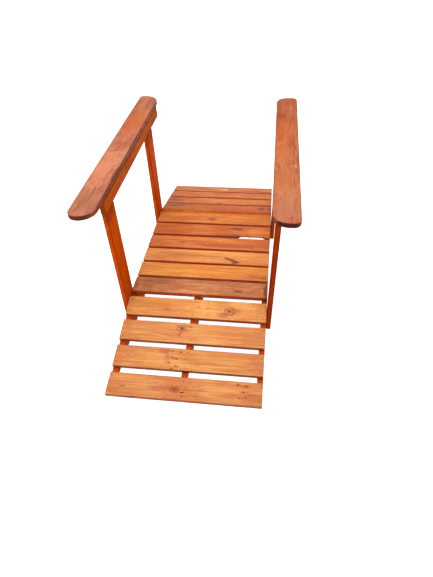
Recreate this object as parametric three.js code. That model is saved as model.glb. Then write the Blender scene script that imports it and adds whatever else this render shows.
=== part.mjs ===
// A small timber footbridge: a level deck between two ramps, with a handrail along each side.
// Millimetres. X runs across the bridge, Y along it from the near ramp to the far one, Z up.
// The origin is on the ground, at the centre of the bridge's plan.
import * as THREE from "three";

// Boards and the two floors that they make.
const WALKWAY_WIDTH = 600; // length of every deck and ramp board
const BOARD_WIDTH = 96;
const BOARD_THICKNESS = 20;
const DECK_BOARDS = 6;
const DECK_GAP = 11.4; // between two boards of the deck
const RAMP_BOARDS = 4;
const NEAR_RAMP_GAP = 24; // between two boards of the near ramp
const FAR_RAMP_GAP = 12;
const LANDING_GAP = 29; // between the deck and the first board of a ramp
const NEAR_STEP = 1.3; // how far the top of a ramp starts below the deck
const FAR_STEP = 4;

// Joists under the deck and tapered stringers under the ramps, in three lines.
const JOIST_HEIGHT = 96;
const JOIST_THICKNESS = 24;
const MIDDLE_LINE_X = -8; // the middle line was nailed on a little to the left
const NOSE_HEIGHT = 8; // what is left of a stringer at its thin end

// Posts, the rails on them and the handrails that cap the rails.
const POST_WIDTH = 95;
const POST_THICKNESS = 20;
const NEAR_POST_LAP = 22; // how much of a post covers the joist, and not the stringer
const FAR_POST_LAP = 54;
const RAIL_ABOVE_DECK = 447; // from the deck to the underside of a rail
const RAIL_HEIGHT = 58;
const RAIL_RUN_ON = 135; // what a rail runs on past the far post
const RIGHT_LEAN = 1.15; // degrees that the right posts and rail lean outwards
const HANDRAIL_WIDTH = 98;
const HANDRAIL_THICKNESS = 20;

// The handrails were cut and rounded by hand, so each has its own sizes: how far it stands in over
// the walkway, what it runs on past its rail, and the radii of its four corners, seen from above.
const HANDRAILS = {
  left: {
    lip: 4,
    nearOverhang: 128,
    farOverhang: 71,
    nearInner: 59,
    nearOuter: 38,
    farInner: 70,
    farOuter: 20,
  },
  right: {
    lip: 7,
    nearOverhang: 118,
    farOverhang: 65,
    nearInner: 59,
    nearOuter: 26,
    farInner: 55,
    farOuter: 24,
  },
};

const ARRIS_RADIUS = 2.5; // rounding of the long edges of every board
const ARRIS_SEGMENTS = 3;
const CORNER_SEGMENTS = 10; // in a quarter turn of a handrail's corners
const CORNER_SPACE = 1; // straight wood left between the two corners of a handrail's end
const FIT_GAP = 0.3; // between two pieces that touch

// Heights and places that follow from those sizes. The deck starts at Y = 0, half a walkway to each
// side of X = 0, until the last lines centre the bridge.
const deckLength = DECK_BOARDS * BOARD_WIDTH + (DECK_BOARDS - 1) * DECK_GAP;
const deckTop = JOIST_HEIGHT + FIT_GAP + BOARD_THICKNESS;
const frameSide = WALKWAY_WIDTH / 2; // outer face of the outer joists, and the board ends
const postInner = frameSide + FIT_GAP;
const railBottom = deckTop + RAIL_ABOVE_DECK;
const railTop = railBottom + RAIL_HEIGHT;
const handrailBottom = railTop + FIT_GAP;

// One colour for each board, as the stain has faded on it, and one for each other kind of piece.
const NEAR_RAMP_COLOURS = ["#e39a62", "#eba76d", "#eda66c", "#f5ae6c"];
const DECK_COLOURS = ["#c87d58", "#e89a60", "#e29a60", "#d17a55", "#d37a50", "#d67f50"];
const FAR_RAMP_COLOURS = ["#d0824f", "#c9794c", "#cc7a4b", "#c97a50"];
const FRAME_COLOUR = "#a8481c";
const POST_COLOUR = "#b8561a";
const RAIL_COLOUR = "#b0561c";
const HANDRAIL_COLOUR = "#dd8a66";
const STAIN_ROUGHNESS = 0.75;

const bridge = new THREE.Group();

function stained(colour) {
  return new THREE.MeshStandardMaterial({ color: colour, roughness: STAIN_ROUGHNESS, metalness: 0 });
}

function addPiece(parent, name, geometry, colour) {
  const piece = new THREE.Mesh(geometry, stained(colour));
  piece.name = name;
  parent.add(piece);
  return piece;
}

// A rectangle centred on the origin, with one corner radius for each corner, from the corner at
// low X and low Y anticlockwise.
function roundedRectangle(width, height, radii) {
  const [lowLow, highLow, highHigh, lowHigh] = radii;
  const right = width / 2;
  const top = height / 2;
  const outline = new THREE.Shape();
  outline.moveTo(-right + lowLow, -top);
  outline.lineTo(right - highLow, -top);
  outline.absarc(right - highLow, -top + highLow, highLow, -Math.PI / 2, 0, false);
  outline.lineTo(right, top - highHigh);
  outline.absarc(right - highHigh, top - highHigh, highHigh, 0, Math.PI / 2, false);
  outline.lineTo(-right + lowHigh, top);
  outline.absarc(-right + lowHigh, top - lowHigh, lowHigh, Math.PI / 2, Math.PI, false);
  outline.lineTo(-right, -top + lowLow);
  outline.absarc(-right + lowLow, -top + lowLow, lowLow, Math.PI, Math.PI * 1.5, false);
  return outline;
}

// A board centred on the origin, with its length along Z and its long edges rounded.
function boardGeometry(sizeX, sizeY, length) {
  const radius = Math.min(ARRIS_RADIUS, sizeX / 4, sizeY / 4);
  const outline = roundedRectangle(sizeX, sizeY, [radius, radius, radius, radius]);
  const geometry = new THREE.ExtrudeGeometry(outline, {
    depth: length,
    bevelEnabled: false,
    curveSegments: ARRIS_SEGMENTS,
  });
  return geometry.translate(0, 0, -length / 2);
}

// A board that lies across the bridge: length along X, width along Y.
function crossBoardGeometry() {
  return boardGeometry(BOARD_THICKNESS, BOARD_WIDTH, WALKWAY_WIDTH).rotateY(Math.PI / 2);
}

// A board that runs along the bridge: length along Y.
function lengthwiseGeometry(thickness, height, length) {
  return boardGeometry(thickness, height, length).rotateX(Math.PI / 2);
}

// The three lines of joists and stringers, by name, with the X of each centre.
const lineX = frameSide - JOIST_THICKNESS / 2;
const FRAME_LINES = [
  ["left", -lineX],
  ["middle", MIDDLE_LINE_X],
  ["right", lineX],
];

function addDeck() {
  for (const [line, x] of FRAME_LINES) {
    const joist = lengthwiseGeometry(JOIST_THICKNESS, JOIST_HEIGHT, deckLength);
    addPiece(bridge, `${line}_joist`, joist, FRAME_COLOUR).position.set(
      x,
      deckLength / 2,
      JOIST_HEIGHT / 2,
    );
  }
  for (let i = 0; i < DECK_BOARDS; i += 1) {
    const y = i * (BOARD_WIDTH + DECK_GAP) + BOARD_WIDTH / 2;
    const colour = DECK_COLOURS[i % DECK_COLOURS.length];
    const board = addPiece(bridge, `deck_board_${i + 1}`, crossBoardGeometry(), colour);
    board.position.set(0, y, deckTop - BOARD_THICKNESS / 2);
  }
}

// The slope of a ramp whose last board rests on the ground by its lower edge.
function rampAngle(topHeight, slopeLength) {
  const diagonal = Math.hypot(slopeLength, BOARD_THICKNESS);
  return Math.asin(topHeight / diagonal) - Math.atan(BOARD_THICKNESS / slopeLength);
}

// A ramp in a frame of its own: local Y runs outwards and downhill from the end of the joists.
// Boards are numbered from the near end of the bridge, whichever ramp they are in.
function addRamp(side, origin, outwards, gap, step, colours) {
  const ramp = new THREE.Group();
  ramp.position.y = origin;
  ramp.rotation.z = outwards > 0 ? 0 : Math.PI;
  bridge.add(ramp);

  const slopeLength = RAMP_BOARDS * BOARD_WIDTH + (RAMP_BOARDS - 1) * gap;
  const topHeight = deckTop - step;
  const angle = rampAngle(topHeight, slopeLength);
  const slope = new THREE.Group();
  slope.position.set(0, LANDING_GAP, topHeight);
  slope.rotation.x = -angle;
  ramp.add(slope);
  for (let i = 0; i < RAMP_BOARDS; i += 1) {
    const number = outwards > 0 ? i + 1 : RAMP_BOARDS - i;
    const name = `${side}_ramp_board_${number}`;
    const board = addPiece(slope, name, crossBoardGeometry(), colours[(number - 1) % colours.length]);
    board.position.set(0, i * (BOARD_WIDTH + gap) + BOARD_WIDTH / 2, -BOARD_THICKNESS / 2);
  }

  // The stringers are cut from joist stock: level at the full height, then tapered under the boards.
  const seatDepth = (BOARD_THICKNESS + FIT_GAP) / Math.cos(angle);
  const seatHeight = (y) => topHeight - seatDepth - (y - LANDING_GAP) * Math.tan(angle);
  const kneeY = LANDING_GAP + (topHeight - seatDepth - JOIST_HEIGHT) / Math.tan(angle);
  const noseY = LANDING_GAP + (topHeight - seatDepth - NOSE_HEIGHT) / Math.tan(angle);
  const profile = new THREE.Shape();
  profile.moveTo(FIT_GAP, 0);
  profile.lineTo(noseY, 0);
  profile.lineTo(noseY, NOSE_HEIGHT);
  if (kneeY > FIT_GAP + 1) {
    profile.lineTo(kneeY, JOIST_HEIGHT);
    profile.lineTo(FIT_GAP, JOIST_HEIGHT);
  } else {
    profile.lineTo(FIT_GAP, seatHeight(FIT_GAP));
  }
  for (const [line, x] of FRAME_LINES) {
    const stringer = new THREE.ExtrudeGeometry(profile, {
      depth: JOIST_THICKNESS,
      bevelEnabled: false,
    });
    stringer.translate(0, 0, -JOIST_THICKNESS / 2);
    // Profile X becomes Y, profile Y becomes Z, and the extrusion runs along X.
    stringer.rotateX(Math.PI / 2);
    stringer.rotateZ(Math.PI / 2);
    const name = `${side}_${line}_stringer`;
    addPiece(ramp, name, stringer, FRAME_COLOUR).position.x = outwards > 0 ? x : -x;
  }
}

// One side of the bridge: two posts, the rail on them and the handrail on the rail. direction is the
// sign of X on that side. The posts lean outwards over the outer edge of their feet.
function addSide(name, direction, degrees) {
  const nearPostY = NEAR_POST_LAP - POST_WIDTH / 2;
  const farPostY = deckLength - FAR_POST_LAP + POST_WIDTH / 2;
  const lean = THREE.MathUtils.degToRad(degrees);
  const footLift = POST_THICKNESS * Math.sin(lean);
  const foot = new THREE.Group();
  foot.position.set(direction * postInner, 0, footLift);
  foot.rotation.y = direction * lean;
  bridge.add(foot);

  const railX = direction * (POST_THICKNESS / 2);
  const postHeight = railBottom - FIT_GAP - footLift;
  const posts = [
    ["near", nearPostY],
    ["far", farPostY],
  ];
  for (const [end, y] of posts) {
    const post = boardGeometry(POST_THICKNESS, POST_WIDTH, postHeight);
    addPiece(foot, `${end}_${name}_post`, post, POST_COLOUR).position.set(railX, y, postHeight / 2);
  }
  const railStart = nearPostY - POST_WIDTH / 2;
  const railEnd = farPostY + POST_WIDTH / 2 + RAIL_RUN_ON;
  const rail = lengthwiseGeometry(POST_THICKNESS, RAIL_HEIGHT, railEnd - railStart);
  addPiece(foot, `${name}_rail`, rail, RAIL_COLOUR).position.set(
    railX,
    (railStart + railEnd) / 2,
    (railBottom + railTop) / 2 - footLift,
  );
  addHandrail(name, direction, railStart, railEnd);
}

// The inner and outer corner of a handrail's end, both made smaller where its width can't hold them.
function fittedCorners(inner, outer) {
  const fit = Math.min(1, (HANDRAIL_WIDTH - CORNER_SPACE) / (inner + outer));
  return [inner * fit, outer * fit];
}

function addHandrail(name, direction, railStart, railEnd) {
  const sizes = HANDRAILS[name];
  const start = railStart - sizes.nearOverhang;
  const end = railEnd + sizes.farOverhang;
  const [nearInner, nearOuter] = fittedCorners(sizes.nearInner, sizes.nearOuter);
  const [farInner, farOuter] = fittedCorners(sizes.farInner, sizes.farOuter);
  // From the near left corner anticlockwise, seen from above.
  const radii =
    direction > 0
      ? [nearInner, nearOuter, farOuter, farInner]
      : [nearOuter, nearInner, farInner, farOuter];
  const outline = roundedRectangle(HANDRAIL_WIDTH, end - start, radii);
  const geometry = new THREE.ExtrudeGeometry(outline, {
    depth: HANDRAIL_THICKNESS - 2 * ARRIS_RADIUS,
    bevelThickness: ARRIS_RADIUS,
    bevelSize: ARRIS_RADIUS,
    bevelOffset: -ARRIS_RADIUS,
    bevelSegments: 2,
    curveSegments: CORNER_SEGMENTS,
  });
  addPiece(bridge, `${name}_handrail`, geometry, HANDRAIL_COLOUR).position.set(
    direction * (postInner - sizes.lip + HANDRAIL_WIDTH / 2),
    (start + end) / 2,
    handrailBottom + ARRIS_RADIUS,
  );
}

addDeck();
addRamp("near", 0, -1, NEAR_RAMP_GAP, NEAR_STEP, NEAR_RAMP_COLOURS);
addRamp("far", deckLength, 1, FAR_RAMP_GAP, FAR_STEP, FAR_RAMP_COLOURS);
addSide("left", -1, 0);
addSide("right", 1, RIGHT_LEAN);

const plan = new THREE.Box3().setFromObject(bridge, true).getCenter(new THREE.Vector3());
bridge.position.set(-plan.x, -plan.y, 0);
const footbridge = new THREE.Group();
footbridge.add(bridge);

export default footbridge;
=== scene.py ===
# A small garden footbridge of stained pine: the finished look of every board, post, rail and handrail.
#
# Metres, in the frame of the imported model: X across the bridge, Y along it from the near ramp to the
# far one, Z up. Each timber is modelled flat on the bench in its own frame, with X along its grain,
# Y across its face and Z through its thickness. One matrix then carries it into the bridge, and the
# same matrix lays the grain of its material along it. Numbers in a recipe for wood are millimetres.
import math
import random

import bmesh
import bpy
from mathutils import Matrix, Vector, noise


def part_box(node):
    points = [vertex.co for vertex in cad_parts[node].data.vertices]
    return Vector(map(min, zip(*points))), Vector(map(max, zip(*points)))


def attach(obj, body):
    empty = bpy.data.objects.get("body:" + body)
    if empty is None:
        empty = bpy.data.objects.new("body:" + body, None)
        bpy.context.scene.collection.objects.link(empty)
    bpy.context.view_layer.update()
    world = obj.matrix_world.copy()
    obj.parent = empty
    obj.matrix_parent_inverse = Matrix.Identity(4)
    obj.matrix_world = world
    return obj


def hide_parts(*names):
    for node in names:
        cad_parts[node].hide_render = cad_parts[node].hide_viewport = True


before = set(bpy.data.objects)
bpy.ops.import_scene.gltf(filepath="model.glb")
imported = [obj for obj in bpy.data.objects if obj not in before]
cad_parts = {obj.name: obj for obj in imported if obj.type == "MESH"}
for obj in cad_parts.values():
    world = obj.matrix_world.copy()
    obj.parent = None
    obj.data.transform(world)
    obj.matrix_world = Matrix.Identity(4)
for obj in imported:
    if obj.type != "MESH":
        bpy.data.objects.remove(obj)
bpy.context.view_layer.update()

MM = 0.001
FIT_GAP = 0.3 * MM  # between two timbers that touch

# ---------------------------------------------------------------- the timbers and where they lie

# How a timber is turned into place: the columns are its grain, its width and its thickness.
ACROSS_FLAT = Matrix.Identity(3)
ALONG_FLAT = Matrix(((0, -1, 0), (1, 0, 0), (0, 0, 1)))
ALONG_ON_EDGE = Matrix(((0, 0, 1), (1, 0, 0), (0, 1, 0)))
UPRIGHT = Matrix(((0, 0, -1), (0, 1, 0), (1, 0, 0)))


class Timber:
    """One length of wood: its name, its slot, which is kept but not used, half its size and the matrix that
    lays it in the bridge.
    """

    def __init__(self, name, slot, half, placement):
        self.name = name
        self.slot = slot
        self.half = half
        self.placement = placement
        self.dice = random.Random(name)


def centre_of(name):
    low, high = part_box(name)
    return (low + high) / 2


def timber_in_box(name, slot, turn):
    """A timber that is as large as its CAD node's box."""
    low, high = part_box(name)
    half = turn.transposed() @ ((high - low) / 2)
    half = Vector(abs(size) for size in half)
    return Timber(name, slot, half, Matrix.Translation((low + high) / 2) @ turn.to_4x4())


def leaning_timber(name, slot, turn, lean):
    """A timber that leans sideways by an angle, and so is narrower and longer than its node's box."""
    low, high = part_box(name)
    across, along, tall = high - low
    cos, sin = math.cos(lean), abs(math.sin(lean))
    thickness = (across * cos - tall * sin) / (cos * cos - sin * sin)
    height = (tall * cos - across * sin) / (cos * cos - sin * sin)
    half = turn.transposed() @ (Vector((thickness, along, height)) / 2)
    half = Vector(abs(size) for size in half)
    tilt = Matrix.Translation((low + high) / 2) @ Matrix.Rotation(lean, 4, "Y")
    return Timber(name, slot, half, tilt @ turn.to_4x4())


def lean_of(side):
    """How far a side's posts lean, in radians about Y: the rail sits straight above the posts' feet."""
    rise = centre_of(f"{side}_rail") - centre_of(f"near_{side}_post")
    return math.atan2(rise.x, rise.z)


BOARD_HALF = (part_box("deck_board_1")[1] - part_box("deck_board_1")[0]) / 2
LINES = ("left", "middle", "right")
LINE_X = [centre_of(f"{line}_joist").x for line in LINES]


def ramp_slope(end):
    """How steeply a ramp rises towards the far end of the bridge, in radians."""
    run = centre_of(f"{end}_ramp_board_4") - centre_of(f"{end}_ramp_board_1")
    return math.atan2(run.z, run.y)


def ramp_board(end, number):
    name = f"{end}_ramp_board_{number}"
    turn = Matrix.Rotation(ramp_slope(end), 4, "X")
    return Timber(name, f"{end}_ramp_boards", BOARD_HALF, Matrix.Translation(centre_of(name)) @ turn)


# ---------------------------------------------------------------- camera, light and floor

CAMERA_PLACE = (0.2788, -1.6637, 1.4572)
CAMERA_PITCH = math.radians(43.29)  # down from the horizon
CAMERA_HEADING = math.radians(8.19)  # to the left of straight along the bridge
CAMERA_ROLL = math.radians(-2.37)
SENSOR = 36.0
LENS = 27.58
ROOM_GLOW = 0.62
FLOOR_GREY = 0.72
FLOOR_GLOW = 0.95  # a lit floor, so that shadows stay faint
DECK_MIDDLE = (0, 0, 0.1)


def add_camera():
    lens = bpy.data.cameras.new("camera")
    lens.sensor_width = SENSOR
    lens.lens = LENS
    camera = bpy.data.objects.new("camera", lens)
    bpy.context.scene.collection.objects.link(camera)
    turn = Matrix.Rotation(CAMERA_HEADING, 4, "Z")
    turn = turn @ Matrix.Rotation(math.pi / 2 - CAMERA_PITCH, 4, "X")
    turn = turn @ Matrix.Rotation(CAMERA_ROLL, 4, "Z")
    camera.matrix_world = Matrix.Translation(CAMERA_PLACE) @ turn
    bpy.context.scene.camera = camera


def add_softbox(name, place, size, power):
    """A round lamp that looks at the middle of the deck."""
    lamp = bpy.data.lights.new(name, "AREA")
    lamp.shape = "DISK"
    lamp.size = size
    lamp.energy = power
    softbox = bpy.data.objects.new(name, lamp)
    bpy.context.scene.collection.objects.link(softbox)
    softbox.location = place
    aim = Vector(DECK_MIDDLE) - Vector(place)
    softbox.rotation_euler = aim.to_track_quat("-Z", "Y").to_euler()


def add_studio():
    world = bpy.data.worlds.new("pale_room")
    world.use_nodes = True
    background = world.node_tree.nodes["Background"]
    background.inputs["Color"].default_value = (1.0, 1.0, 1.0, 1.0)
    background.inputs["Strength"].default_value = ROOM_GLOW
    bpy.context.scene.world = world
    bpy.context.scene.view_settings.view_transform = "Standard"
    add_softbox("overhead_softbox", (-0.6, -0.5, 4.2), 3.0, 150.0)
    add_softbox("front_softbox", (1.6, -3.2, 2.6), 2.0, 26.0)


def add_floor():
    mesh = bpy.data.meshes.new("studio_floor")
    bm = bmesh.new()
    bmesh.ops.create_grid(bm, x_segments=1, y_segments=1, size=30.0)
    bm.to_mesh(mesh)
    bm.free()
    floor = bpy.data.objects.new("studio_floor", mesh)
    bpy.context.scene.collection.objects.link(floor)
    recipe = Recipe("pale_floor")
    finish = recipe.shader(roughness=0.9)
    finish.inputs["Base Color"].default_value = (FLOOR_GREY, FLOOR_GREY, FLOOR_GREY, 1.0)
    finish.inputs["Emission Color"].default_value = (1.0, 1.0, 1.0, 1.0)
    finish.inputs["Emission Strength"].default_value = FLOOR_GLOW
    mesh.materials.append(recipe.material)


# ---------------------------------------------------------------- a short way to write node materials


def linear(hex_colour):
    """A colour written as rrggbb, as the linear RGBA that shaders take."""
    shares = [int(hex_colour[i : i + 2], 16) / 255 for i in (0, 2, 4)]
    return tuple(s / 12.92 if s <= 0.04045 else ((s + 0.055) / 1.055) ** 2.4 for s in shares) + (1.0,)


def tinted(colour, red, green, blue):
    """A colour with each of its three channels scaled."""
    return (colour[0] * red, colour[1] * green, colour[2] * blue, 1.0)


class Recipe:
    """The nodes of one material. Every method adds a node and returns its output."""

    def __init__(self, name):
        self.material = bpy.data.materials.new(name)
        self.material.use_nodes = True
        self.tree = self.material.node_tree
        self.tree.nodes.clear()

    def node(self, kind, inputs, **settings):
        made = self.tree.nodes.new(kind)
        for key, value in settings.items():
            setattr(made, key, value)
        for key, value in inputs.items():
            if isinstance(value, bpy.types.NodeSocket):
                self.tree.links.new(value, made.inputs[key])
            else:
                made.inputs[key].default_value = value
        return made

    def math(self, operation, *values):
        return self.node("ShaderNodeMath", dict(enumerate(values)), operation=operation).outputs[0]

    def vector(self, operation, *values):
        made = self.node("ShaderNodeVectorMath", dict(enumerate(values)), operation=operation)
        return made.outputs["Value" if operation == "LENGTH" else "Vector"]

    def parts(self, vector):
        return self.node("ShaderNodeSeparateXYZ", {0: vector}).outputs

    def ease(self, value, start, end, low=0.0, high=1.0):
        """low where value is at start, high where it is at end, and a soft step between."""
        inputs = {"Value": value, "From Min": start, "From Max": end, "To Min": low, "To Max": high}
        made = self.node("ShaderNodeMapRange", inputs, interpolation_type="SMOOTHSTEP")
        return made.outputs["Result"]

    def noise(self, place, detail=2.0, roughness=0.5):
        inputs = {"Vector": place, "Scale": 1.0, "Detail": detail, "Roughness": roughness}
        return self.node("ShaderNodeTexNoise", inputs).outputs["Fac"]

    def mix(self, share, first, second):
        """The first colour where share is 0, and the second where it is 1."""
        inputs = {"Factor": share, 6: first, 7: second}
        return self.node("ShaderNodeMix", inputs, data_type="RGBA").outputs[2]

    def shader(self, roughness, metallic=0.0, specular=0.5):
        made = self.node("ShaderNodeBsdfPrincipled", {"Roughness": roughness})
        made.inputs["Metallic"].default_value = metallic
        made.inputs["Specular IOR Level"].default_value = specular
        self.node("ShaderNodeOutputMaterial", {"Surface": made.outputs["BSDF"]})
        return made

    def bump(self, height, strength, distance):
        inputs = {"Height": height, "Strength": strength, "Distance": distance}
        return self.node("ShaderNodeBump", inputs).outputs["Normal"]


# ---------------------------------------------------------------- stained pine


RINGED_KNOT = 8.0  # mm of radius above which a knot shows rings round its heart
SPIKE_KNOT = 3.0  # times longer than wide: a knot sawn along its length, which shows no rings


class Knot:
    """A knot in a timber's face: where it lies, its half width in mm and how it looks."""

    def __init__(self, along, across, radius, dark=1.0, stretch=1.25, halo=1.0, turn=0.0):
        self.along = along
        self.across = across
        self.radius = radius
        self.dark = dark
        self.stretch = stretch  # how much longer than wide it is
        self.halo = halo  # how far its red stain has spread, as a share of the usual
        self.turn = math.radians(turn)  # its long side, anticlockwise from the grain


class Blot:
    """A soft-edged mark on a timber's face: bark, dirt, a bleached patch, a scorched end, or painted shade.
    """

    def __init__(self, along, across, half_length, half_width, colour, share=0.8):
        self.along = along
        self.across = across
        self.half_length = half_length
        self.half_width = half_width
        self.colour = linear(colour)
        self.share = share


class Stain:
    """How one timber's stain has kept: the colour of its face and of its sides, and what has worn it. On
    the near ramp the side colour is darkened as painted shade, and on the first far ramp board it is
    lightened as painted light.
    """

    def __init__(
        self, face, side="a83602", knots=(), blots=(), grey=0.0, worn=0.0, contrast=1.0,
        checks=(), gloss=0.16, arris=0.35,
    ):
        self.face = linear(face)
        self.side = linear(side)
        self.knots = knots
        self.blots = blots
        self.grey = grey
        self.worn = worn
        self.contrast = contrast
        self.checks = checks  # fine drying cracks: start, end, and how far across the face
        self.gloss = gloss
        self.arris = arris  # how dark the rounded long edges are painted, partly as painted shade along them


def board_space(recipe, timber):
    """The timber's own coordinates in millimetres, and its own normal."""
    at = recipe.node("ShaderNodeTexCoord", {}).outputs
    turn = timber.placement.to_euler()
    place = recipe.node("ShaderNodeMapping", {"Vector": at["Object"]}, vector_type="TEXTURE")
    place.inputs["Location"].default_value = timber.placement.translation
    place.inputs["Rotation"].default_value = turn
    place.inputs["Scale"].default_value = (MM, MM, MM)
    normal = recipe.node("ShaderNodeMapping", {"Vector": at["Normal"]}, vector_type="TEXTURE")
    normal.inputs["Rotation"].default_value = turn
    return place.outputs["Vector"], normal.outputs["Vector"]


def stretched_noise(recipe, place, along, across, offset, detail=2.0, roughness=0.5):
    """Noise whose blots are along mm long and across mm wide."""
    shift = recipe.vector("ADD", place, (offset * 733.0, offset * 211.0, offset * 97.0))
    scaled = recipe.vector("MULTIPLY", shift, (1 / along, 1 / across, 1 / across))
    return recipe.noise(scaled, detail, roughness)


def knot_fields(recipe, place, knots):
    """What knots do to a face: they push the rings, stain the wood red and have bodies and hearts."""
    bulge = halo = body = heart = 0.0
    for knot in knots:
        offset = recipe.vector("SUBTRACT", place, (knot.along, knot.across, 0.0))
        turned = recipe.node("ShaderNodeMapping", {"Vector": offset}, vector_type="TEXTURE")
        turned.inputs["Rotation"].default_value = (0.0, 0.0, knot.turn)
        scale = (1 / (knot.radius * knot.stretch), 1 / knot.radius, 0.0)
        near = recipe.vector("MULTIPLY", turned.outputs["Vector"], scale)
        wobble = stretched_noise(recipe, place, 9 + knot.radius, 5 + knot.radius / 2, knot.along, 2.0)
        rough_edge = recipe.ease(wobble, 0.2, 0.8, -0.25, 0.25)
        distance = recipe.math("ADD", recipe.vector("LENGTH", near), rough_edge)

        # The halo and the push on the rings reach further along the grain than across it.
        drawn = recipe.vector("MULTIPLY", offset, (0.36 / knot.radius, 1 / knot.radius, 0.0))
        ragged_edge = recipe.ease(wobble, 0.2, 0.8, -0.5, 0.5)
        spread = recipe.math("ADD", recipe.vector("LENGTH", drawn), ragged_edge)
        bulge = recipe.math("ADD", bulge, recipe.ease(spread, 3.6, 0.0, 0.0, 1.5 * knot.radius))
        reach = 1.0 + 1.7 * knot.halo
        reddened = recipe.ease(spread, reach, 0.6, 0.0, knot.dark * min(1.0, knot.halo))
        halo = recipe.math("MAXIMUM", halo, reddened)

        if knot.radius > RINGED_KNOT and knot.stretch < SPIKE_KNOT:
            wave = recipe.math("SINE", recipe.math("MULTIPLY", distance, 2 * math.pi))
            rings = recipe.ease(recipe.math("ABSOLUTE", wave), 0.85, 0.3, 0.2, 1.0)
            inside = recipe.ease(distance, 1.35, 1.1, 0.0, 0.9 * knot.dark)
            body = recipe.math("MAXIMUM", body, recipe.math("MULTIPLY", rings, inside))
            core = recipe.ease(distance, 0.42, 0.2, 0.0, knot.dark)
        else:
            core = recipe.ease(distance, 1.12, 0.72, 0.0, knot.dark)
        heart = recipe.math("MAXIMUM", heart, core)
    return bulge, halo, body, heart


def growth_rings(recipe, place, timber, bulge):
    """The dark late wood of each ring, from 0 to 1, for a log whose heart lies behind the face."""
    dice = timber.dice
    pith = (0.0, dice.uniform(-34, 34), -dice.uniform(26, 60))
    sway = stretched_noise(recipe, place, 520, 90, dice.random(), 1.0)
    shift = recipe.math("MULTIPLY", recipe.math("SUBTRACT", sway, 0.5), 34.0)
    x, y, z = recipe.parts(recipe.vector("SUBTRACT", place, pith))
    y = recipe.math("ADD", y, shift)
    squared = recipe.math("ADD", recipe.math("MULTIPLY", y, y), recipe.math("MULTIPLY", z, z))
    radius = recipe.math("SQRT", squared)
    taper = dice.choice((-1, 1)) * dice.uniform(0.01, 0.022)
    radius = recipe.math("ADD", radius, recipe.math("MULTIPLY", x, taper))
    radius = recipe.math("ADD", radius, bulge)
    ragged = stretched_noise(recipe, place, 90, 5, dice.random(), 2.0)
    radius = recipe.math("ADD", radius, recipe.math("MULTIPLY", ragged, 1.8))
    turn = recipe.math("FRACT", recipe.math("DIVIDE", radius, dice.uniform(4.6, 7.4)))
    rise = recipe.math("POWER", turn, 2.2)
    fall = recipe.ease(turn, 1.0, 0.9)
    uneven = recipe.ease(stretched_noise(recipe, place, 160, 12, dice.random(), 2.0), 0.3, 0.7, 0.35, 1.0)
    return recipe.math("MULTIPLY", recipe.math("MULTIPLY", rise, fall), uneven)


def drying_cracks(recipe, place, checks):
    """Hair-fine dark cracks along the grain, from 0 to 1."""
    crack = 0.0
    for start, end, across in checks:
        x, y, z = recipe.parts(place)
        wander = stretched_noise(recipe, place, 60, 400, start, 2.0)
        off = recipe.math("SUBTRACT", y, recipe.ease(wander, 0.2, 0.8, across - 2.5, across + 2.5))
        line = recipe.ease(recipe.math("ABSOLUTE", off), 1.3, 0.4)
        broken = stretched_noise(recipe, place, 34, 300, end, 1.0)
        line = recipe.math("MULTIPLY", line, recipe.ease(broken, 0.3, 0.6, 0.15, 0.8))
        middle, half = (start + end) / 2, abs(end - start) / 2
        along = recipe.math("ABSOLUTE", recipe.math("SUBTRACT", x, middle))
        line = recipe.math("MULTIPLY", line, recipe.ease(along, half, half * 0.8))
        crack = recipe.math("MAXIMUM", crack, line)
    return crack


def marked(recipe, place, colour, blot, ragged):
    """The colour with one soft-edged mark laid over it."""
    offset = recipe.vector("SUBTRACT", place, (blot.along, blot.across, 0.0))
    scaled = recipe.vector("MULTIPLY", offset, (1 / blot.half_length, 1 / blot.half_width, 0.0))
    distance = recipe.math("ADD", recipe.vector("LENGTH", scaled), recipe.ease(ragged, 0.3, 0.7, -0.4, 0.4))
    return recipe.mix(recipe.ease(distance, 1.2, 0.45, 0.0, blot.share), colour, blot.colour)


class Grain:
    """What shows in one timber's wood: its own space, its knots, its rings and noises from 0 to 1."""

    def __init__(self, recipe, timber, knots):
        dice = timber.dice
        place, normal = board_space(recipe, timber)
        bulge, self.halo, self.body, self.heart = knot_fields(recipe, place, knots)
        self.place = place
        self.normal = normal
        self.late = growth_rings(recipe, place, timber, bulge)
        self.fibre = stretched_noise(recipe, place, 90, 1.8, dice.random(), 3.0, 0.6)
        self.streak = stretched_noise(recipe, place, 260, 5, dice.random(), 4.0, 0.6)
        self.pinstripe = stretched_noise(recipe, place, 420, 2.6, dice.random(), 1.0)
        self.blotch = stretched_noise(recipe, place, 150, 30, dice.random(), 3.0, 0.6)
        self.grime = stretched_noise(recipe, place, 46, 20, dice.random(), 5.0, 0.7)


def faded_face(recipe, grain, stain):
    """Golden and rusty stretches, rusty streaks, brown late wood, fine fibres and dark pinstripes."""
    face = stain.face
    contrast = stain.contrast
    rusty = recipe.ease(grain.blotch, 0.33, 0.67)
    colour = recipe.mix(rusty, tinted(face, 1.08, 1.2, 1.1), tinted(face, 0.88, 0.74, 0.74))
    streaked = recipe.ease(grain.streak, 0.46, 0.72, 0.0, 0.6 * contrast)
    colour = recipe.mix(streaked, colour, tinted(face, 0.74, 0.5, 0.4))
    ringed = recipe.math("MULTIPLY", grain.late, 0.75 * contrast)
    colour = recipe.mix(ringed, colour, tinted(face, 0.6, 0.36, 0.26))
    fibrous = recipe.ease(grain.fibre, 0.4, 0.72, 0.0, 0.38 * contrast)
    colour = recipe.mix(fibrous, colour, tinted(face, 0.7, 0.5, 0.36))
    striped = recipe.ease(grain.pinstripe, 0.57, 0.68, 0.0, 0.6 * contrast)
    return recipe.mix(striped, colour, tinted(face, 0.56, 0.34, 0.24))


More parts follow.
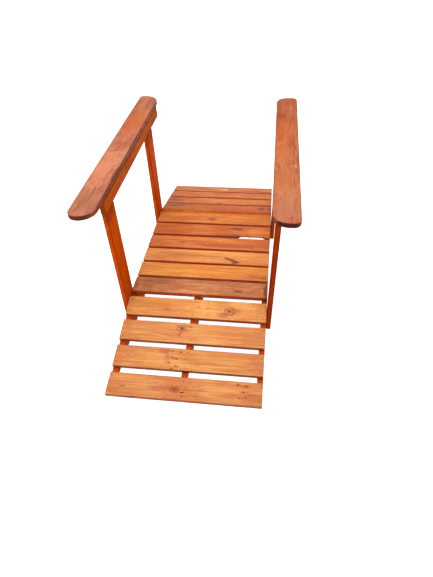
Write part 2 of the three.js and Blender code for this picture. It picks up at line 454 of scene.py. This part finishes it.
def sides_and_underside(recipe, grain, side):
    """The sides and the underside, where the stain has kept its full colour. Their side colour is darkened
    as painted shade on the near ramp and lightened as painted light on the first far ramp board.
    """
    ringed = recipe.math("MULTIPLY", grain.late, 0.5)
    colour = recipe.mix(ringed, side, tinted(side, 0.56, 0.4, 0.3))
    patchy = recipe.ease(grain.blotch, 0.35, 0.7, 0.0, 0.8)
    colour = recipe.mix(patchy, colour, tinted(side, 0.74, 0.6, 0.5))
    fibrous = recipe.ease(grain.fibre, 0.4, 0.72, 0.0, 0.3)
    return recipe.mix(fibrous, colour, tinted(side, 1.3, 1.35, 1.2))


def knotted(recipe, grain, face, colour):
    """Knots: a red halo drawn out along the grain, rings of purple-brown wood, then the dark heart."""
    halo = recipe.math("MULTIPLY", grain.halo, recipe.ease(grain.streak, 0.3, 0.62, 0.45, 0.95))
    colour = recipe.mix(halo, colour, tinted(face, 0.64, 0.36, 0.36))
    colour = recipe.mix(grain.body, colour, tinted(face, 0.4, 0.2, 0.26))
    return recipe.mix(grain.heart, colour, tinted(face, 0.16, 0.09, 0.12))


def weathered_and_shaded(recipe, grain, stain, upwards, crack, colour):
    """Grey-brown and bleached stretches, marks and cracks. Some marks are painted shade."""
    if stain.grey:
        grey = recipe.ease(grain.grime, 0.4, 0.64, 0.0, stain.grey)
        colour = recipe.mix(recipe.math("MULTIPLY", grey, upwards), colour, linear("6a4034"))
    if stain.worn:
        worn = recipe.ease(grain.blotch, 0.62, 0.42, 0.0, stain.worn)
        worn = recipe.math("MULTIPLY", worn, recipe.ease(grain.fibre, 0.75, 0.4))
        bleached = tinted(stain.face, 1.08, 1.3, 1.75)
        colour = recipe.mix(recipe.math("MULTIPLY", worn, upwards), colour, bleached)
    for blot in stain.blots:
        colour = marked(recipe, grain.place, colour, blot, grain.grime)
    cracked = recipe.math("MULTIPLY", crack, upwards)
    return recipe.mix(cracked, colour, tinted(stain.face, 0.2, 0.1, 0.1))


def edged(recipe, grain, timber, stain, colour):
    """Dirt round the rim of the face, dark rounded arrises that are partly painted shade, and end grain
    that soaked up the stain.
    """
    half_length, half_width, half_depth = (size / MM for size in timber.half)
    x, y, z = recipe.parts(grain.place)
    from_side = recipe.math("SUBTRACT", half_width, recipe.math("ABSOLUTE", y))
    from_end = recipe.math("SUBTRACT", half_length, recipe.math("ABSOLUTE", x))
    from_rim = recipe.math("MINIMUM", from_side, recipe.math("MULTIPLY", from_end, 0.45))
    from_rim = recipe.math("ADD", from_rim, recipe.ease(grain.grime, 0.3, 0.7, -1.0, 6.0))
    rim = recipe.ease(from_rim, 7.0, 0.5, 0.0, 0.6)
    colour = recipe.mix(rim, colour, tinted(stain.face, 0.6, 0.36, 0.3))

    # Darker rounded long edges: partly painted shade along each arris.
    from_face = recipe.math("SUBTRACT", half_depth, recipe.math("ABSOLUTE", z))
    from_arris = recipe.math("ADD", from_side, from_face)
    from_arris = recipe.math("ADD", from_arris, recipe.ease(grain.streak, 0.3, 0.7, -0.8, 1.6))
    arris = recipe.ease(from_arris, 6.0, 2.0, 0.0, stain.arris)
    colour = recipe.mix(arris, colour, tinted(stain.side, 0.34, 0.24, 0.3))

    sawn = recipe.ease(recipe.math("ABSOLUTE", recipe.parts(grain.normal)[0]), 0.55, 0.85)
    early, late = tinted(stain.side, 0.5, 0.44, 0.5), tinted(stain.side, 0.24, 0.2, 0.26)
    return recipe.mix(sawn, colour, recipe.mix(grain.late, early, late))


def stained_pine(timber, stain):
    """Pine with a transparent orange stain that has faded on the faces that the weather reaches."""
    recipe = Recipe(f"stained_pine_{timber.name}")
    grain = Grain(recipe, timber, stain.knots)
    upwards = recipe.ease(recipe.parts(grain.normal)[2], 0.3, 0.85)
    crack = drying_cracks(recipe, grain.place, stain.checks)

    face = faded_face(recipe, grain, stain)
    colour = recipe.mix(upwards, sides_and_underside(recipe, grain, stain.side), face)
    colour = knotted(recipe, grain, stain.face, colour)
    colour = weathered_and_shaded(recipe, grain, stain, upwards, crack, colour)
    colour = edged(recipe, grain, timber, stain, colour)

    height = recipe.math("MULTIPLY", grain.late, 0.5)
    height = recipe.math("ADD", height, recipe.math("MULTIPLY", grain.fibre, 0.9))
    height = recipe.math("ADD", height, recipe.math("MULTIPLY", grain.heart, 0.8))
    height = recipe.math("SUBTRACT", height, recipe.math("MULTIPLY", crack, 1.6))
    dull = recipe.ease(grain.blotch, 0.3, 0.7, 0.5, 0.66)
    roughness = recipe.math("ADD", dull, recipe.math("MULTIPLY", grain.fibre, 0.12))
    finish = recipe.shader(roughness=0.55, specular=stain.gloss)
    recipe.tree.links.new(colour, finish.inputs["Base Color"])
    recipe.tree.links.new(roughness, finish.inputs["Roughness"])
    recipe.tree.links.new(recipe.bump(height, 0.55, 0.5 * MM), finish.inputs["Normal"])
    return recipe.material


# ---------------------------------------------------------------- shaping a timber


ARRIS = 2.5 * MM  # the rounding of a planed timber's long edges
HANDRAIL_ARRIS = 3.0 * MM
STRINGER_ARRIS = 1.2 * MM
SAWN_ARRIS = 0.7 * MM  # what wear has taken off a sawn end
SHRINKAGE = 0.8 * MM  # how much narrower each half of a face has dried
TOUCHING = 1e-6  # points closer together than this count as one


def lies_at_end(edge, half_length):
    return all(abs(abs(v.co.x) - half_length) < TOUCHING for v in edge.verts)


def lies_at_corner(edge, half, end, side):
    """Whether an edge stands in the plank's corner on this end and side, each 1 or -1."""
    return all(
        v.co.x * end > half.x - TOUCHING and v.co.y * side > half.y - TOUCHING for v in edge.verts
    )


def round_edges(bm, edges, radius, segments):
    bmesh.ops.bevel(
        bm, geom=edges, offset=radius, offset_type="OFFSET", segments=segments,
        profile=0.5, affect="EDGES", clamp_overlap=True, material=-1,
    )


def slice_across(bm, axis, stations):
    """Cuts new edges through the whole solid at each place along one axis, 0 for X, 1 for Y, 2 for Z."""
    direction = Vector((axis == 0, axis == 1, axis == 2))
    for station in stations:
        bmesh.ops.bisect_plane(
            bm, geom=bm.verts[:] + bm.edges[:] + bm.faces[:],
            plane_co=direction * station, plane_no=direction, dist=1e-7,
        )


def evenly(half, step):
    """Places from -half to half, without the ends, no more than step apart."""
    count = max(1, math.ceil(2 * half / step))
    return [-half + 2 * half * i / count for i in range(1, count)]


def squared_block(timber):
    """A plain block of the timber's size, to be cut and rounded."""
    bm = bmesh.new()
    bmesh.ops.create_cube(bm, size=2.0)
    bmesh.ops.scale(bm, vec=timber.half, verts=bm.verts)
    return bm


def round_arrises(bm, timber):
    """Rounds the long edges, then takes the sharpness off the sawn ends."""
    half_length = timber.half.x
    long_edges = [e for e in bm.edges if abs(e.verts[0].co.x - e.verts[1].co.x) > half_length]
    round_edges(bm, long_edges, ARRIS, 3)
    end_edges = [e for e in bm.edges if lies_at_end(e, half_length)]
    round_edges(bm, end_edges, SAWN_ARRIS, 1)


def dip(timber, x, y):
    """How far the planed face lies below its nominal height: a slight cup, and a washed-out surface."""
    cup = timber.cup * (y / timber.half.y) ** 2
    wash = noise.noise(Vector((x * 9, y * 45, timber.tone)))
    return cup + timber.wash * (0.5 + 0.5 * wash)


def weather(bm, timber):
    """Moves the timber's points a little inwards, as planing, sawing and drying have left it."""
    half = timber.half
    for v in bm.verts:
        x, y, z = v.co
        crook = noise.noise(Vector((x * 3, timber.tone, 0.3))) * 0.5 * MM
        ragged = noise.noise(Vector((x * 40, y * 20, timber.tone + 7))) * 0.25 * MM
        shrink = 1 - SHRINKAGE / half.y
        v.co.y = y * shrink + crook + ragged
        v.co.z = z - dip(timber, x, y) * (z + half.z) / (2 * half.z)
        trim, skew = timber.ends[0] if x < 0 else timber.ends[1]
        v.co.x = x * (1 - (trim + skew * (1 + y / half.y)) / half.x)


def slice_evenly(bm, timber, along, across):
    """Cuts the solid into cells of about this size, so that weathering can bend its faces."""
    slice_across(bm, 0, evenly(timber.half.x, along))
    slice_across(bm, 1, evenly(timber.half.y, across))
    slice_across(bm, 2, [0.0])


def finish_piece(bm, timber, stain):
    """Weathers and stains the shaped solid, which then stands for its CAD node in the bridge."""
    weather(bm, timber)
    bmesh.ops.dissolve_degenerate(bm, dist=TOUCHING, edges=bm.edges)
    bmesh.ops.transform(bm, matrix=timber.placement, verts=bm.verts)
    bmesh.ops.recalc_face_normals(bm, faces=bm.faces)
    mesh = bpy.data.meshes.new(f"finished_{timber.name}")
    for face in bm.faces:
        face.smooth = True
    bm.to_mesh(mesh)
    bm.free()
    mesh.materials.append(stained_pine(timber, stain))
    piece = bpy.data.objects.new(f"finished_{timber.name}", mesh)
    bpy.context.scene.collection.objects.link(piece)
    flat_faces = piece.modifiers.new("flat_faces", "WEIGHTED_NORMAL")
    flat_faces.weight = 80
    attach(piece, "root")
    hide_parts(timber.name)


def season(timber, cup=0.5, wash=0.35, ends=0.5):
    """Rolls how one timber has warped and been sawn: millimetres of cup, wash and end trim."""
    dice = timber.dice
    timber.tone = dice.uniform(0, 90)
    timber.cup = dice.uniform(0.2, 1.0) * cup * MM
    timber.wash = wash * MM
    timber.ends = [(dice.uniform(0.1, 1) * ends * MM, dice.uniform(0, 0.5) * ends * MM) for _ in range(2)]


def make_board(timber, stain, wane=None, splits=()):
    """A level or sloping board, with its bark edge and its splits if it has any."""
    season(timber)
    bm = squared_block(timber)
    round_arrises(bm, timber)
    slice_evenly(bm, timber, along=10 * MM, across=12 * MM)
    for split in splits:
        open_split(bm, timber, *split)
    if wane:
        cut_wane(bm, timber, *wane)
    finish_piece(bm, timber, stain)


BARK_REACH = 46 * MM  # how far in from a bark edge the board's points follow it


def cut_wane(bm, timber, start, end, top_loss, bottom_loss):
    """Takes the near edge back to where the bark was: a little of the face, more of the underside."""
    half = timber.half
    for v in bm.verts:
        x, y, z = v.co
        share = (x - start) / (end - start)
        if not 0 < share < 1 or y > -half.y + BARK_REACH:
            continue
        curve = min(1.0, 2.2 * math.sin(math.pi * share)) ** 0.8
        height = (z + half.z) / (2 * half.z)
        bark = 1 + 0.2 * noise.noise(Vector((x * 60, z * 90, timber.tone)))
        take = (bottom_loss + (top_loss - bottom_loss) * height) * curve * bark
        v.co.y = -half.y + take + (y + half.y) * (BARK_REACH - take) / BARK_REACH


def open_split(bm, timber, across, start, depth, width=0.9 * MM):
    """A drying split that runs from one end of the face into the board, deepest at the end."""
    slice_across(bm, 1, [across - width, across, across + width])
    half = timber.half
    for v in bm.verts:
        x, y, z = v.co
        inside = (x - start) / (math.copysign(half.x, start) - start)
        if abs(y - across) < TOUCHING and inside > 0 and z > 0:
            v.co.z = z - depth * inside * (z / half.z)
            v.co.y = y + noise.noise(Vector((x * 30, timber.tone, 3.0))) * 0.6 * width


def make_upright_or_rail(timber, stain):
    season(timber, cup=0.3, wash=0.25, ends=0.0)
    bm = squared_block(timber)
    round_arrises(bm, timber)
    slice_evenly(bm, timber, along=14 * MM, across=14 * MM)
    finish_piece(bm, timber, stain)


# Radii of each handrail's corners: at its near and far end, on the walkway's side and on the outside.
HANDRAIL_CORNERS = {
    "left": {"near": (59 * MM, 38 * MM), "far": (70 * MM, 20 * MM)},
    "right": {"near": (59 * MM, 26 * MM), "far": (55 * MM, 24 * MM)},
}


def make_handrail(timber, stain, inner, corners):
    """A plank with rounded corners. inner is the sign of its own Y on the walkway's side."""
    season(timber, cup=0.6, wash=0.4, ends=0.0)
    bm = squared_block(timber)
    for end, (inner_radius, outer_radius) in ((-1, corners["near"]), (1, corners["far"])):
        for side, radius in ((inner, inner_radius), (-inner, outer_radius)):
            upright = [e for e in bm.edges if lies_at_corner(e, timber.half, end, side)]
            round_edges(bm, upright, radius, 12)
    rims = [e for e in bm.edges if abs(e.verts[0].co.z - e.verts[1].co.z) < 1e-7]
    round_edges(bm, rims, HANDRAIL_ARRIS, 3)
    slice_evenly(bm, timber, along=12 * MM, across=12 * MM)
    finish_piece(bm, timber, stain)


def make_stringer(timber, stain, end):
    """A tapered support, sawn off along the underside of the ramp's boards."""
    season(timber, cup=0.0, wash=0.2, ends=0.0)
    bm = squared_block(timber)
    board = ramp_board(end, 2)
    underside = board.placement @ Vector((0, 0, -BOARD_HALF.z - FIT_GAP))
    upwards = board.placement.to_3x3() @ Vector((0, 0, 1))
    bench = timber.placement.inverted()
    cut = bmesh.ops.bisect_plane(
        bm, geom=bm.verts[:] + bm.edges[:] + bm.faces[:], plane_co=bench @ underside,
        plane_no=bench.to_3x3() @ upwards, clear_outer=True, dist=1e-7,
    )
    open_edges = [g for g in cut["geom_cut"] if isinstance(g, bmesh.types.BMEdge)]
    bmesh.ops.edgeloop_fill(bm, edges=open_edges)
    bmesh.ops.recalc_face_normals(bm, faces=bm.faces)
    round_edges(bm, bm.edges[:], STRINGER_ARRIS, 2)
    slice_across(bm, 0, evenly(timber.half.x, 20 * MM))
    finish_piece(bm, timber, stain)


# ---------------------------------------------------------------- nails


NAIL_RADIUS = 2.3 * MM
NAIL_SINK = 0.35 * MM  # how deep a head was driven into the wood
NAIL_HEIGHT = 0.76 * MM  # a little more than a head is high
BOARD_NAIL_ROW = 31 * MM  # from the middle of a board to each row of nails
POST_NAIL_ROW = 28 * MM
POST_NAIL_HEIGHTS = (34 * MM, 76 * MM)  # above the post's foot
POST_NAIL_SINK = 0.6 * MM
HANDRAIL_NAIL_SHARES = (0.04, 0.34, 0.66, 0.95)  # of the rail's length, from its near end


def nail_head():
    """One flat nail head with a worn rim, standing on the ground plane at the origin."""
    bm = bmesh.new()
    bmesh.ops.create_circle(bm, cap_ends=True, segments=10, radius=NAIL_RADIUS)
    bmesh.ops.solidify(bm, geom=bm.faces[:], thickness=0.55 * MM)
    bmesh.ops.recalc_face_normals(bm, faces=bm.faces)
    top = max(bm.faces, key=lambda face: face.calc_center_median().z)
    bmesh.ops.inset_region(bm, faces=[top], thickness=0.5 * MM, depth=0.2 * MM)
    mesh = bpy.data.meshes.new("nail_head")
    lowest = min(v.co.z for v in bm.verts)
    bmesh.ops.translate(bm, vec=(0, 0, -lowest), verts=bm.verts)
    bm.to_mesh(mesh)
    bm.free()
    return mesh


def nail_steel():
    recipe = Recipe("weathered_nail_steel")
    at = recipe.node("ShaderNodeTexCoord", {}).outputs["Object"]
    speckle = recipe.noise(recipe.vector("MULTIPLY", at, (900.0, 900.0, 900.0)), 3.0, 0.6)
    colour = recipe.mix(recipe.ease(speckle, 0.35, 0.65), linear("2c1a14"), linear("4a2414"))
    finish = recipe.shader(roughness=0.6, metallic=0.35)
    recipe.tree.links.new(colour, finish.inputs["Base Color"])
    recipe.tree.links.new(recipe.bump(speckle, 0.4, 0.1 * MM), finish.inputs["Normal"])
    return recipe.material


def make_nails(name, places, steel):
    """Many nail heads as one piece. Each place is a matrix whose Z points out of the wood."""
    head = nail_head()
    bm = bmesh.new()
    for place in places:
        already = len(bm.verts)
        bm.from_mesh(head)
        bm.verts.ensure_lookup_table()
        bmesh.ops.transform(bm, matrix=place, verts=bm.verts[already:])
    bmesh.ops.recalc_face_normals(bm, faces=bm.faces)
    mesh = bpy.data.meshes.new(name)
    bm.to_mesh(mesh)
    bm.free()
    mesh.materials.append(steel)
    piece = bpy.data.objects.new(name, mesh)
    bpy.context.scene.collection.objects.link(piece)
    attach(piece, "root")


def board_nails(timber):
    """Two nails into each of the three lines of joists, a little out of line as they were driven."""
    places = []
    for line_x in LINE_X:
        for side in (-1, 1):
            x = line_x + timber.dice.uniform(-4, 4) * MM
            y = side * BOARD_NAIL_ROW + timber.dice.uniform(-4, 4) * MM
            height = timber.half.z - dip(timber, x, y) - NAIL_SINK
            places.append(timber.placement @ Matrix.Translation((x, y, height)))
    return places


# ---------------------------------------------------------------- the bridge


# The near ramp's side colours are darker than the deck's: painted shade on the boards' front faces and in
# the gaps below them.
NEAR_RAMP_STAINS = [
    Stain("cc864f", side="5a2006", knots=[
        Knot(-36, -7, 13, halo=0.4), Knot(-4, -16, 2.8, 0.95, 3.6, 0.5, 18), Knot(205, 32, 3, 0.9),
        Knot(238, 27, 3, 0.9), Knot(228, 5, 3.2, 1.0), Knot(214, -18, 2.8, 0.9), Knot(237, -16, 3, 0.9),
        Knot(-239, -8, 3, 0.55, 4.5, 0.8),
    ], blots=[
        Blot(-95, -4, 46, 15, "a8583a", 0.6), Blot(-268, -12, 36, 44, "b2643a", 0.5),
        Blot(262, -20, 48, 32, "b0623a", 0.45), Blot(190, 12, 60, 24, "e8a352", 0.22),
    ], checks=[(226, 312, -5)]),
    Stain("d18e53", side="742404", knots=[
        Knot(-67, 31, 2.4, halo=0.8), Knot(-33, 31, 3, halo=0.6), Knot(-64, 6, 3.2, halo=0.9),
        Knot(-47, 1, 2.8), Knot(-76, -17, 2.6, halo=0.8), Knot(-44, -31, 2.4), Knot(-61, -42, 2.2),
        Knot(-13, 2, 1.6, 0.6), Knot(40, -20, 1.5, 0.6), Knot(-245, 5, 1.8, 0.7, 5.0, 0.6),
    ], blots=[
        Blot(-98, 30, 26, 11, "9a4a3c", 0.65), Blot(-84, 4, 16, 26, "a8573a", 0.5),
        Blot(275, -4, 40, 46, "b0643e", 0.5), Blot(-282, -6, 30, 46, "b8683a", 0.45),
        Blot(-130, -6, 60, 34, "e6a052", 0.18),
    ]),
    Stain("d79458", side="742404", knots=[
        Knot(-46, 20, 15, 0.9, 1.3, 0.2, -14), Knot(-52, -8, 2.5, 0.7, 4.5, 0.8, 62), Knot(-66, 30, 2, 0.8),
    ], blots=[
        Blot(-20, 30, 26, 7, "8a4a48", 0.5), Blot(262, -10, 60, 40, "b46a40", 0.55),
        Blot(-275, 0, 26, 44, "b86a3c", 0.45),
        Blot(-190, 22, 70, 10, "b06a44", 0.35),
    ], contrast=1.25),
    Stain("dc9a57", side="742404", knots=[
        Knot(144, -4, 18, 1.0, 1.15, 0.15), Knot(51, 4, 1.6, 0.8), Knot(50, -25, 1.6, 0.8),
        Knot(-117, -17, 2, 0.8), Knot(-125, -10, 3, 0.4, 3.0), Knot(118, -16, 3, 0.4, 4.0, 0.8, -20),
    ], blots=[
        Blot(122, -22, 30, 14, "a04a3a", 0.6), Blot(172, -4, 20, 12, "a85040", 0.5),
        Blot(-190, 4, 90, 44, "c4682f", 0.35), Blot(278, 12, 26, 40, "b86a3c", 0.4),
        Blot(-285, 0, 20, 44, "b8683a", 0.4),
    ]),
]
DECK_STAINS = [
    Stain("c88052", knots=[
        Knot(-234, 25, 2.4, 0.9, 1.6), Knot(-222, 21, 1.8, 0.7, 5.0, 0.5), Knot(-219, -19, 2.2),
        Knot(-226, -2, 1.6, 0.8), Knot(171, -16, 4, 0.75, 6.0, 0.9, -4), Knot(120, 30, 1.8, 0.7),
        Knot(286, -22, 2, 0.8),
    ], blots=[
        Blot(296, 0, 14, 60, "5c2c18", 0.85), Blot(-296, 4, 18, 50, "7a4428", 0.6),
        Blot(-190, 26, 90, 22, "805038", 0.55), Blot(60, 34, 150, 14, "8a5a40", 0.5),
        Blot(120, -30, 120, 16, "96583c", 0.4), Blot(-30, -36, 120, 12, "d08850", 0.6),
    ], grey=0.4),
    Stain("de9048", knots=[
        Knot(276, -27, 4.5, 0.85, 2.2), Knot(-20, -8, 1.4, 0.5), Knot(-105, 4, 1.4, 0.5),
    ], blots=[
        Blot(245, -24, 56, 18, "9a5634", 0.55), Blot(-285, -10, 24, 36, "c87838", 0.4),
    ]),
    Stain("e09556", knots=[
        Knot(123, -19, 10, 0.74, 4.6, 0.25, -26), Knot(138, -42, 3, 0.7, 4.5, 0.8),
    ], blots=[
        Blot(148, -34, 20, 10, "6a3040", 0.7), Blot(-40, 2, 170, 6, "a0583a", 0.55),
        Blot(-230, -20, 60, 14, "b86038", 0.4), Blot(40, 34, 150, 9, "e6a050", 0.5),
    ], contrast=1.2),
    Stain("d37944", knots=[
        Knot(-131, -4, 4.4, 0.85, 1.6, 1.0), Knot(-240, -30, 1.6, 0.8), Knot(-118, 2, 1.6, 0.7),
    ], blots=[
        Blot(120, -16, 190, 20, "96482c", 0.6), Blot(262, 6, 44, 44, "a8562e", 0.5),
        Blot(-40, 26, 240, 12, "dc8038", 0.6),
    ], grey=0.1),
    Stain("c86f39", knots=[Knot(135, 16, 8, 0.75, 3.2, 0.6, -8), Knot(158, 26, 2, 0.6, 3.0)], blots=[
        Blot(120, 18, 44, 11, "7c4440", 0.65), Blot(95, -41, 82, 8, "5a3830", 0.8),
        Blot(-20, -44, 90, 5, "6e3c28", 0.6), Blot(-180, -20, 90, 26, "b84e20", 0.5),
        Blot(225, 0, 60, 30, "da8a3c", 0.5),
    ]),
    Stain("d38041", knots=[Knot(-11, -9, 6, 0.7, 2.4, 0.8), Knot(228, -6, 1.6, 0.7, 3.0, 0.7, 70)], blots=[
        Blot(-6, -8, 34, 20, "96483a", 0.6), Blot(-200, 20, 100, 20, "dc8630", 0.5),
        Blot(262, 6, 30, 36, "b0602c", 0.4),
    ]),
]
FAR_RAMP_STAINS = [
    # This board's side colour is brighter than the others': painted light on its face at the step where it
    # meets the deck.
    Stain("d17543", side="f07c14", knots=[Knot(249, 8, 4, 0.5, 3.0)], blots=[
        Blot(243, 2, 24, 30, "5c403a", 0.6), Blot(-236, 16, 60, 14, "5c3c34", 0.5),
        Blot(292, 0, 18, 40, "70402c", 0.6),
        Blot(0, -14, 200, 16, "924428", 0.4),
    ], grey=0.3),
    Stain("d48048", knots=[Knot(5, -38, 5, 0.9, 2.6, 1.1)], blots=[
        Blot(-262, 6, 66, 40, "70463a", 0.5), Blot(60, 16, 190, 16, "d08848", 0.5),
        Blot(230, -40, 90, 8, "7a3c22", 0.5),
    ]),
    Stain("d47e49", knots=[Knot(-28, 10, 3, 0.6, 3.0, 1.0, 20)], blots=[
        Blot(200, 10, 130, 26, "b8624a", 0.4), Blot(-20, -40, 280, 7, "8a3a24", 0.5),
    ]),
    Stain("d28553", blots=[
        Blot(12, -8, 22, 12, "e8c4a8", 0.85), Blot(230, -30, 110, 16, "8a4434", 0.6),
        Blot(-120, 0, 90, 30, "b0562c", 0.4),
    ]),
]
HANDRAIL_STAINS = {
    "left": Stain("ac6d4e", side="7c3410", knots=[
        Knot(28, -7, 3.2, 0.7, 1.3, 0.4), Knot(-338, 16, 9, 0.45, 1.8, 0.6, 24),
        Knot(-362, 34, 7, 0.4, 2.2, 0.5, -20), Knot(-306, 2, 3, 0.4, 3.0, 0.5, 30),
    ], blots=[
        Blot(28, -4, 18, 12, "cc8058", 0.55), Blot(-8, -10, 34, 60, "a05034", 0.55),
        Blot(-350, 24, 30, 20, "c88068", 0.3), Blot(440, -28, 110, 22, "8e4a38", 0.5),
        Blot(520, 10, 60, 50, "b06850", 0.5), Blot(230, 0, 190, 60, "b85a2e", 0.6),
        Blot(-200, 10, 170, 50, "cc7c5c", 0.6), Blot(-480, -30, 60, 24, "8c4e42", 0.5),
        Blot(-250, -44, 60, 7, "5a3828", 0.6),
    ], grey=0.24, worn=0.35, contrast=1.2, gloss=0.08, arris=0.95),
    "right": Stain("b3653e", side="5c240e", knots=[
        Knot(-105, -2, 2.2), Knot(-8, -34, 2.4, 0.9, 1.6), Knot(-503, -15, 2.6, 1.0),
        Knot(270, 32, 5, 0.6, 3.0, 1.0),
        Knot(-160, -32, 2, 0.5, 3.0, 0.5, 40), Knot(-330, 4, 17, 0.0), Knot(430, 4, 15, 0.0),
    ], blots=[
        Blot(300, 28, 46, 24, "7c4438", 0.65), Blot(505, 8, 80, 50, "94503c", 0.6),
        Blot(-160, -32, 12, 8, "c48058", 0.55),
        Blot(-420, 0, 130, 60, "a86a50", 0.6), Blot(160, 8, 150, 50, "b85a2c", 0.5),
        Blot(-40, 20, 120, 30, "be6e38", 0.5),
        Blot(-270, 4, 150, 60, "c87e4c", 0.28),
    ], checks=[
        (-500, 150, -26), (180, 520, -30),
    ], grey=0.2, worn=0.25, contrast=1.5, gloss=0.08, arris=0.6),
}
POST_COLOURS = {"left": "c24c04", "right": "9c3602"}
RAIL_COLOUR = "b25514"
BARK_EDGE_BOARD = 5
BARK_EDGE = (132 * MM, 282 * MM, 5 * MM, 23 * MM)  # start, end, and the loss on top and underneath
END_SPLIT = (-5 * MM, 232 * MM, 5 * MM)  # place across the board, start and depth
SHADE_UNDER_HANDRAIL = Blot(0, 27, 900, 6, "3a1606", 0.85)  # painted shade on the rail's top, in the corner under the handrail's overhang
# painted shade at the top of a post, where the handrail above shades it
SHADE_AT_POST_TOP = Blot(268, 0, 44, 80, "5a2408", 0.5)
FRAME_COLOUR = "b8440c"


def plain_stain(colour, blots=()):
    """The stain of a timber that the weather has hardly reached."""
    return Stain(colour, side=colour, blots=blots, contrast=0.9, gloss=0.01, arris=1.0)


def handrail_nails(handrail, rail):
    """Four nails down through a handrail into the rail below it."""
    places = []
    low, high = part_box(rail.name)
    for share in HANDRAIL_NAIL_SHARES:
        y = low.y + share * (high.y - low.y) + handrail.dice.uniform(-9, 9) * MM
        at = handrail.placement.inverted() @ Vector(((low.x + high.x) / 2, y, 0))
        height = handrail.half.z - max(NAIL_HEIGHT, dip(handrail, at.x, at.y) + NAIL_SINK)
        places.append(handrail.placement @ Matrix.Translation((at.x, at.y, height)))
    return places


def post_nails(post, outwards):
    """Nails driven from the outside through the foot of a post, two at each height above its foot."""
    places = []
    flip = Matrix.Rotation(0 if outwards < 0 else math.pi, 4, "X")
    for height in POST_NAIL_HEIGHTS:
        for y in (-POST_NAIL_ROW, POST_NAIL_ROW):
            x = height - post.half.x + post.dice.uniform(-3, 3) * MM
            face = Matrix.Translation((x, y * outwards, 0)) @ flip
            face = face @ Matrix.Translation((0, 0, post.half.z - POST_NAIL_SINK))
            places.append(post.placement @ face)
    return places


def make_deck(nails):
    for number, stain in enumerate(DECK_STAINS, 1):
        timber = timber_in_box(f"deck_board_{number}", "deck_boards", ACROSS_FLAT)
        wane = BARK_EDGE if number == BARK_EDGE_BOARD else None
        make_board(timber, stain, wane=wane)
        nails["deck"] += board_nails(timber)


def make_ramps(nails):
    for end, stains in (("near", NEAR_RAMP_STAINS), ("far", FAR_RAMP_STAINS)):
        for number, stain in enumerate(stains, 1):
            timber = ramp_board(end, number)
            splits = [END_SPLIT] if (end, number) == ("near", 1) else ()
            make_board(timber, stain, splits=splits)
            nails[f"{end}_ramp"] += board_nails(timber)


def make_frame():
    for line in LINES:
        joist = timber_in_box(f"{line}_joist", "frame_timber", ALONG_ON_EDGE)
        make_upright_or_rail(joist, plain_stain(FRAME_COLOUR))
        for end in ("near", "far"):
            stringer = timber_in_box(f"{end}_{line}_stringer", "frame_timber", ALONG_ON_EDGE)
            make_stringer(stringer, plain_stain(FRAME_COLOUR), end)


def make_side(side, inner, nails):
    lean = lean_of(side)
    for end in ("near", "far"):
        post = leaning_timber(f"{end}_{side}_post", "posts", UPRIGHT, lean)
        # The top of each post carries painted shade below the handrail.
        make_upright_or_rail(post, plain_stain(POST_COLOURS[side], [SHADE_AT_POST_TOP]))
        nails["post"] += post_nails(post, inner)
    rail = leaning_timber(f"{side}_rail", "rails", ALONG_ON_EDGE, lean)
    # The rail's top carries painted shade under the handrail's overhang.
    make_upright_or_rail(rail, plain_stain(RAIL_COLOUR, [SHADE_UNDER_HANDRAIL]))
    handrail = timber_in_box(f"{side}_handrail", "handrails", ALONG_FLAT)
    make_handrail(handrail, HANDRAIL_STAINS[side], inner, HANDRAIL_CORNERS[side])
    nails["handrail"] += handrail_nails(handrail, rail)


def make_bridge():
    nails = {"deck": [], "near_ramp": [], "far_ramp": [], "post": [], "handrail": []}
    make_deck(nails)
    make_ramps(nails)
    make_frame()
    for side, inner in (("left", -1), ("right", 1)):
        make_side(side, inner, nails)
    steel = nail_steel()
    for group, places in nails.items():
        make_nails(f"{group}_nails", places, steel)


add_camera()
add_studio()
add_floor()
make_bridge()
